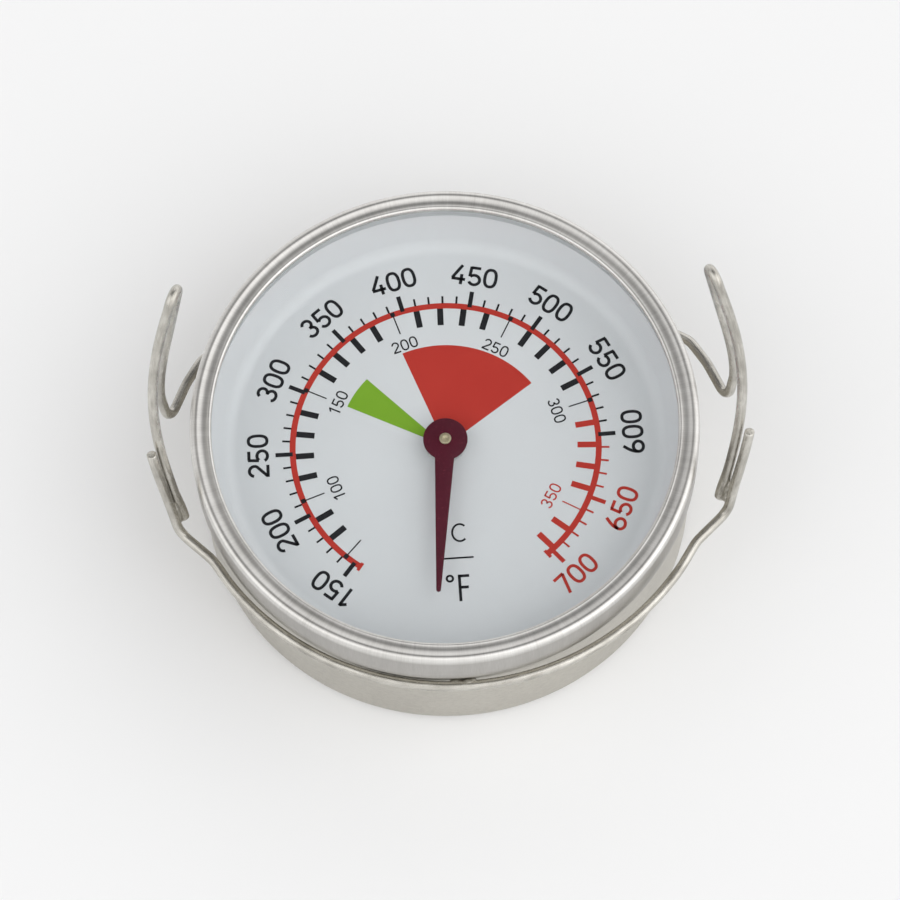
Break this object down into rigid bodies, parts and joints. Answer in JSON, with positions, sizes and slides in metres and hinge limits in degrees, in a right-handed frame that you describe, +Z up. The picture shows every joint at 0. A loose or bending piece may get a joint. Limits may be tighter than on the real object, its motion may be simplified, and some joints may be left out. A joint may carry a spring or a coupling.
{
  "type": "surface thermometer",
  "caption": "Round bimetal surface thermometer with a brushed bezel, a white twin-scale dial, a dark red pointer and two upright wire handles.",
  "frame": {"origin": "centre of the flat base, on the axis of the dial", "axes": "+Z up out of the dial, along the pointer's axis; +Y towards 12 o'clock on the dial; +X towards 3 o'clock, the right-hand handle"},
  "size_m": [0.0887, 0.0773, 0.069],
  "materials": {
    "steel_case": "drawn, satin",
    "steel_brushed": "brushed across the rim and up the skirt",
    "steel_wire": "drawn wire, bright",
    "weld_bead": "rough, slightly tinted",
    "glass": "clear, polished",
    "gasket": "pale pressed fibre, matt",
    "dial_paint": "satin white with a printed scale",
    "pointer_paint": "satin dark red",
    "boss_metal": "turned",
    "brass": "turned",
    "bimetal": "rolled strip"
  },
  "bodies": {
    "case": {"case_cup": "steel_case", "bezel_ring": "steel_brushed", "lens": "glass", "lens_gasket": "gasket", "dial_pan": "dial_paint", "bimetal_coil": "bimetal", "coil_anchor_post": "steel_case", "movement_bridge": "steel_case", "bridge_rivets": "steel_case", "upper_bush": "brass", "lower_bearing": "brass", "front_ring_wire": "steel_wire", "handle_wire": "steel_wire", "left_handle_weld": "weld_bead", "right_handle_weld": "weld_bead", "front_ring_weld": "weld_bead", "rear_ring_weld": "weld_bead"},
    "pointer": {"pointer": "pointer_paint", "pointer_boss": "boss_metal", "spindle": "brass", "coil_collet": "brass", "thrust_washer": "steel_case", "retaining_clip": "steel_case"}
  },
  "joints": [
    {"name": "pointer_turn", "type": "hinge", "parent": "case", "child": "pointer", "pos_m": [0, 0, 0.0214], "axis": [0, 0, -1], "range_deg": [-26, 314], "stiffness_Nm_per_rad": 0.0002, "deforming": ["bimetal_coil"]}
  ]
}
